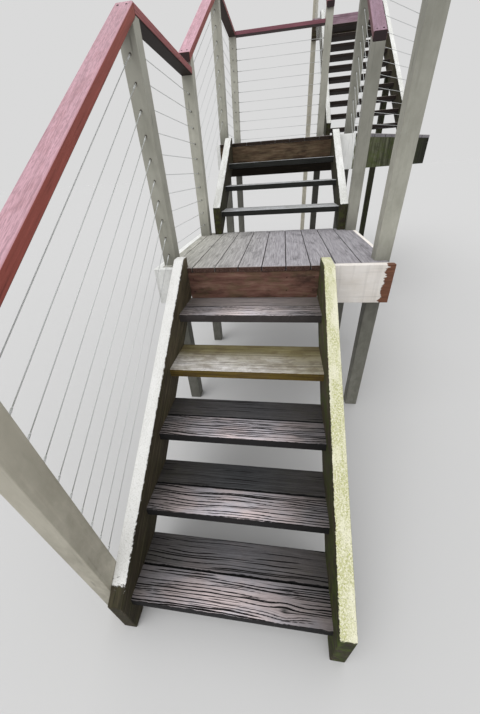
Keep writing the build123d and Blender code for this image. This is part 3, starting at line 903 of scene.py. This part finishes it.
def cables(node, steel, stained):
    """Wires with a pressed sleeve, a nut and a washer at each end."""
    turned = Turned()
    for start, end in cable_ends(node):
        unit = (end - start).normalized()
        turned.length(start, end, WIRE_RADIUS, WIRE_SIDES)
        for place, way in ((start, unit), (end, -unit)):
            neck = place + way * SLEEVE_LENGTH
            mouth = place + way * (SLEEVE_LENGTH + SLEEVE_TAPER)
            turned.length(place, neck, SLEEVE_RADIUS, SLEEVE_SIDES)
            turned.length(neck, mouth, SLEEVE_RADIUS, SLEEVE_SIDES, WIRE_RADIUS)
            for run, radius, sides in ((NUT_LENGTH, NUT_RADIUS, NUT_SIDES),
                                       (WASHER_THICK, WASHER_RADIUS, WASHER_SIDES)):
                turned.length(place, place + way * run, radius, sides, finish=1)
    turned.piece(node + "_look", (steel, stained), slots[node], node)


def rail_screws(rails, steel):
    """Two screws through each end of the handrails."""
    turned = Turned()
    for node in rails:
        bm = merged(node)
        group = bm.verts[:]
        along, across, up = grain_frame(group)
        spans = [[vertex.co.dot(way) for vertex in group] for way in (along, across, up)]
        top = max(spans[2])
        reach = [vertex.co.dot(along) for vertex in group if vertex.co.dot(up) > top - TOP_BAND]
        middle = (min(spans[1]) + max(spans[1])) / 2
        for end, way in ((min(reach), 1), (max(reach), -1)):
            for side in (-SCREW_SPREAD, SCREW_SPREAD):
                place = along * (end + way * SCREW_INSET) + across * (middle + side) + up * top
                turned.length(place - up * SCREW_SINK, place + up * SCREW_RISE, SCREW_RADIUS,
                              SCREW_SIDES)
        bm.free()
    turned.piece("rail_screws", (steel,), "cable_steel")


def nails(name, box, steel):
    """Nail heads on the front of a board."""
    low, high = box
    turned = Turned()
    for x in (low.x + NAIL_INSET, high.x - NAIL_INSET, high.x - NAIL_COLUMN):
        for share in NAIL_HEIGHTS:
            place = Vector((x, low.y, low.z + share * (high.z - low.z)))
            turned.length(place + Vector((0, NAIL_SINK, 0)), place - Vector((0, NAIL_RISE, 0)),
                          NAIL_RADIUS, NAIL_SIDES)
    turned.piece(name, (steel,), "cable_steel")


def camera():
    yaw = math.radians(YAW)
    pitch = math.radians(PITCH)
    roll = math.radians(ROLL)
    ahead = Vector((-math.sin(yaw) * math.cos(pitch), math.cos(yaw) * math.cos(pitch),
                    -math.sin(pitch)))
    level = Vector((math.cos(yaw), math.sin(yaw), 0))
    upright = level.cross(ahead)
    right = math.cos(roll) * level + math.sin(roll) * upright
    up = -math.sin(roll) * level + math.cos(roll) * upright
    data = bpy.data.cameras.new("camera")
    data.sensor_width = SENSOR
    data.sensor_height = SENSOR
    data.sensor_fit = "AUTO"
    data.lens = FOCAL_PIXELS / IMAGE_HEIGHT * SENSOR
    data.clip_start = NEAREST_SEEN
    obj = bpy.data.objects.new("camera", data)
    bpy.context.scene.collection.objects.link(obj)
    obj.matrix_world = Matrix((
        (right.x, up.x, -ahead.x, EYE.x),
        (right.y, up.y, -ahead.y, EYE.y),
        (right.z, up.z, -ahead.z, EYE.z),
        (0, 0, 0, 1)))
    bpy.context.scene.camera = obj


def studio():
    """A soft sky, one broad lamp, and a pale floor that the camera sees lighter than it is."""
    corners = [(x * FLOOR_REACH, y * FLOOR_REACH, -FLOOR_DROP)
               for x, y in ((-1, -1), (1, -1), (1, 1), (-1, 1))]
    mesh = bpy.data.meshes.new("floor")
    mesh.from_pydata(corners, [], [(0, 1, 2, 3)])
    floor = bpy.data.objects.new("floor", mesh)
    bpy.context.scene.collection.objects.link(floor)
    pale = Finish("floor", 0.9, specular=0.1)
    seen = pale.tree.nodes.new("ShaderNodeLightPath").outputs["Is Camera Ray"]
    bounced, shown = ((*[level] * 3, 1) for level in (FLOOR_BOUNCE, FLOOR_SEEN))
    mesh.materials.append(pale.finish(pale.mix(seen, bounced, shown)))

    world = bpy.data.worlds.new("world")
    bpy.context.scene.world = world
    world.use_nodes = True
    tree = world.node_tree
    background = tree.nodes["Background"]
    path = tree.nodes.new("ShaderNodeLightPath")
    seen = path.outputs["Is Camera Ray"]
    for ray in ("Is Glossy Ray", "Is Transmission Ray"):
        either = tree.nodes.new("ShaderNodeMath")
        either.operation = "MAXIMUM"
        tree.links.new(seen, either.inputs[0])
        tree.links.new(path.outputs[ray], either.inputs[1])
        seen = either.outputs[0]
    strength = tree.nodes.new("ShaderNodeMapRange")
    tree.links.new(seen, strength.inputs["Value"])
    strength.inputs["To Min"].default_value = SKY
    strength.inputs["To Max"].default_value = BACKGROUND
    tree.links.new(strength.outputs["Result"], background.inputs["Strength"])
    background.inputs["Color"].default_value = (1, 1, 1, 1)

    lamp = bpy.data.lights.new("sun", "SUN")
    lamp.energy = SUN
    lamp.angle = math.radians(SUN_SPREAD)
    sun = bpy.data.objects.new("sun", lamp)
    sun.rotation_euler = [math.radians(angle) for angle in SUN_TURN]
    bpy.context.scene.collection.objects.link(sun)
    bpy.context.scene.view_settings.view_transform = "Standard"


camera()
studio()

steel = metal("steel", srgb(216, 219, 218), 0.4, metallic=0.35)
stained_steel = metal("stained_steel", srgb(112, 108, 99), 0.6, metallic=0.35)
dark_steel = metal("dark_steel", srgb(48, 44, 42), 0.7)

# Posts
grey_paint = (srgb(188, 187, 175), srgb(171, 170, 158))
warm_paint = (srgb(192, 187, 172), srgb(175, 170, 155))
decks = [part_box(f"landing_{name}_boards")[1].z for name in ("lower", "upper")]
post_looks = {}
for place, paint, deck in (("foot", warm_paint, None), ("landing", grey_paint, decks[0]),
                           ("upper", grey_paint, decks[1])):
    post_looks[place] = painted_timber("post_paint_" + place, *paint, srgb(96, 78, 60),
                                       grime=0.25, deck=deck)
# The posts at the splay and at the flight: bare mossy timber, made very dark partly as a painted
# shade
shaded_post = bare_board("post_bare", srgb(26, 26, 20), srgb(48, 48, 38), srgb(70, 70, 56),
                         srgb(30, 28, 22), stain_share=0.6, moss_share=0.5, moss=srgb(58, 66, 32),
                         along=4, across=90)
post_looks.update(deck=post_looks["foot"], splay=shaded_post, flight=shaded_post)
# Painted light and shade on the posts: how light each is at its foot and at its top
post_shading = {"post_foot": (0.88, 0.90), "post_landing_left_front": (0.91, 0.81),
              "post_landing_left_back": (0.92, 1.02), "post_landing_right_back": (0.96, 0.50),
              "post_landing_right_front": (1.55, 0.30), "post_upper_back": (0.44, 0.90),
              "post_upper_right_front": (0.56, 0.56)}
for node in nodes:
    if node.startswith("post_"):
        timber(node, post_looks[node.split("_")[1]],
               marks=tone_change(2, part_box(node), *post_shading.get(node, (0.96, 0.96))))

# Handrails: their top, their sides and their underside, whose dark colour is a painted shade
rails = {
    "handrail_lower": (srgb(196, 156, 167), srgb(152, 82, 73), srgb(84, 46, 46)),
    "handrail_landing": (srgb(176, 122, 128), srgb(154, 92, 92), srgb(34, 22, 18)),
    "handrail_middle_left": (srgb(210, 168, 180), srgb(148, 82, 76), srgb(84, 46, 46)),
    "handrail_upper_side": (srgb(160, 104, 112), srgb(136, 78, 76), srgb(50, 34, 30)),
    "handrail_upper_back": (srgb(150, 92, 100), srgb(132, 84, 94), srgb(60, 40, 40)),
    "handrail_middle_right": (srgb(154, 126, 141), srgb(104, 66, 70), srgb(60, 46, 46)),
    "handrail_splay": (srgb(120, 76, 88), srgb(96, 56, 58), srgb(50, 36, 36)),
    "handrail_flight": (srgb(128, 84, 94), srgb(110, 66, 68), srgb(56, 40, 40)),
}
for node, colours in rails.items():
    timber(node, red_rail(node + "_wood", *colours), RAIL_ARRIS)
rail_screws(rails, dark_steel)

# Stringers
clean = stringer_timber("stringer_white", srgb(238, 238, 236), srgb(204, 204, 198),
                        speckle_share=0.4, moss_share=0.1, chip=0.013, bare_foot=BARE_FOOT)
mossy = stringer_timber("stringer_lichen", srgb(228, 226, 203), srgb(166, 169, 94),
                        speckle_share=0.85, moss_share=0.8, chip=0.012)
middle = stringer_timber("stringer_middle", srgb(242, 243, 241), srgb(170, 170, 158),
                         speckle_share=0.55, moss_share=0.35, chip=0.010, drip=0.006, face=0.7)
for side, lower in (("left", clean), ("right", mossy)):
    for flight, look in (("lower", lower), ("middle", middle), ("upper", middle)):
        timber(f"stringer_{flight}_{side}", look, STRINGER_ARRIS, inner_high=side == "left")

# Lower treads
grey = split_tread("tread_grey", srgb(42, 42, 43), srgb(62, 63, 65), srgb(92, 93, 95),
                   srgb(222, 206, 206))
pale = split_tread("tread_pale", srgb(78, 73, 72), srgb(116, 109, 107), srgb(150, 142, 139),
                   srgb(218, 206, 206))
olive = olive_tread("tread_olive")
# Each tread of two boards: its look, and what its front and its rear board have of their own. The
# rear boards of treads 2 and 3 get a darker tone as a painted shade.
two_boards = {
    1: (grey, {"worn": 1.0, "knots": ((0.66, 0.045, 0.017),)}, {"worn": 0.18, "spread": 0.2}),
    2: (grey, {"worn": 1.05}, {"worn": 0.0, "tone": 0.8}),
    3: (grey, {"worn": 1.05}, {"worn": 0.05, "tone": 0.8}),
    5: (pale, {"worn": 1.2, "bitten": 1.8}, {"worn": 0.15}),
}
for number in range(1, 6):
    node = f"tread_lower_{number}"
    low, high = (np.array(corner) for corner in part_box(node))
    if number == SINGLE_TREAD:
        split_piece(node, olive, split_board(low, high, splits=1, depth=0.0008, worn=0))
        continue
    look, front, rear = two_boards[number]
    back = np.array([0, (high[1] - low[1] + BOARD_GAP) / 2, 0])
    split_piece(node, look, split_board(low, high - back, splits=2, depth=0.005, **front),
                split_board(low + back, high, splits=1, depth=0.003, **{"spread": -0.4, **rear}))

# Middle and upper treads
# The middle and upper treads have fronts near black as a painted shade; the middle treads' light
# tops are partly a painted sheen
tread = bare_board("tread_bare", srgb(134, 134, 136), srgb(184, 186, 190), srgb(212, 214, 218),
                   srgb(98, 94, 84), stain_share=0.4, moss_share=0.3, moss=srgb(112, 114, 78),
                   front=srgb(40, 41, 39))
shaded_tread = bare_board("tread_shaded", srgb(96, 88, 82), srgb(136, 127, 119),
                          srgb(166, 157, 148), srgb(76, 66, 60), front=srgb(44, 37, 34))
timber("treads_middle", tread)
timber("treads_upper", shaded_tread)

# Landings
planks = landing_board("landing_boards", srgb(58, 40, 34), srgb(98, 76, 68))
upper_planks = landing_board("landing_boards_upper", srgb(30, 24, 20), srgb(58, 46, 38))
# Near black: packed dirt in the board gaps, and a painted shade on the bearer
dirt_and_shade = bare_board("dirt_and_shade", srgb(16, 13, 10), srgb(30, 25, 19), srgb(46, 38, 28), srgb(24, 20, 14))
timber("landing_lower_boards", planks, BOARD_ARRIS,
       marks=landing_marks(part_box("landing_lower_boards")))
timber("landing_upper_boards", upper_planks, BOARD_ARRIS, tones=(0.8, 1.0))
for node in ("landing_lower_boards", "landing_upper_boards"):
    packed_dirt(node, dirt_and_shade)

# Risers and the deck's edge
red_board = bare_board("riser_red", srgb(78, 54, 46), srgb(114, 82, 72), srgb(142, 112, 98),
                       srgb(60, 46, 40), stain_share=0.8, moss_share=0.35,
                       moss=srgb(100, 92, 66), across=34)
brown_board = bare_board("riser_brown", srgb(52, 40, 30), srgb(88, 71, 55), srgb(120, 102, 82),
                         srgb(44, 35, 27), stain_share=0.7, moss_share=0.25,
                         moss=srgb(100, 92, 70), across=40)
mauve_board = bare_board("deck_mauve", srgb(130, 103, 115), srgb(170, 143, 157),
                         srgb(190, 166, 179), srgb(120, 92, 102), stain_share=0.4, along=3,
                         across=90)
for node, look in (("riser_lower", red_board), ("riser_middle", brown_board),
                   ("deck_edge_riser", mauve_board)):
    timber(node, look, RISER_ARRIS, drop=RISER_DROP)
timber("deck_edge_boards", mauve_board, BOARD_ARRIS)
beam_board = bare_board("deck_beam", srgb(34, 28, 24), srgb(60, 50, 43), srgb(86, 74, 64),
                        srgb(34, 28, 22), moss_share=0.2)
timber("deck_edge_beam", beam_board, BOARD_ARRIS)

# Edge boards of the landings
bare_red = srgb(128, 84, 62)
fascia = painted_timber("fascia_paint", srgb(250, 251, 249), srgb(234, 235, 232), bare_red,
                        peel=0.02, grime=0.2, knots=0.2, streaks=0.2)
rotten = painted_timber("fascia_rotten", srgb(250, 245, 240), srgb(236, 229, 221), bare_red,
                        peel=0.06, grime=0.2, knots=0.2, streaks=0.1, rot=ROT_ACROSS)
green_board = bare_board("fascia_green", srgb(44, 44, 32), srgb(76, 78, 58), srgb(110, 112, 92),
                         srgb(46, 50, 28), stain_share=0.6, moss_share=0.5,
                         moss=srgb(70, 82, 34), along=30, across=3, speck=0.4)
for place, look in (("lower_fascia_left", fascia), ("lower_fascia_right", rotten),
                    ("upper_fascia_left", fascia), ("upper_fascia_right", fascia)):
    timber("landing_" + place, look)
splay = "landing_upper_fascia_splay"
timber(splay, green_board, marks=tone_change(0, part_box(splay), 1.4, 0.15))

# Joists
joist = bare_board("joist_bare", srgb(44, 34, 26), srgb(82, 66, 52), srgb(112, 94, 76),
                   srgb(50, 40, 32), moss_share=0.2)
for node in ("landing_lower_joists", "landing_upper_joists"):
    timber(node, joist)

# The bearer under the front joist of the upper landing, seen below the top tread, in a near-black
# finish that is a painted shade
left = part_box("stringer_middle_left")[0].x
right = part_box("stringer_middle_right")[1].x
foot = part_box("landing_upper_fascia_right")[0].z
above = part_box("landing_upper_joists")[0]
bearer = (Vector((left, above.y + BEARER_SET_BACK, foot)),
          Vector((right, above.y + BEARER_THICK, above.z)))
boards("landing_upper_bearer", [bearer], Vector((1, 0, 0)), dirt_and_shade, slots["landing_upper_joists"],
       ARRIS)

# Cables and nails
for node in nodes:
    if node.startswith("cables_"):
        cables(node, steel, stained_steel)
nails("riser_nails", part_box("riser_lower"), dark_steel)
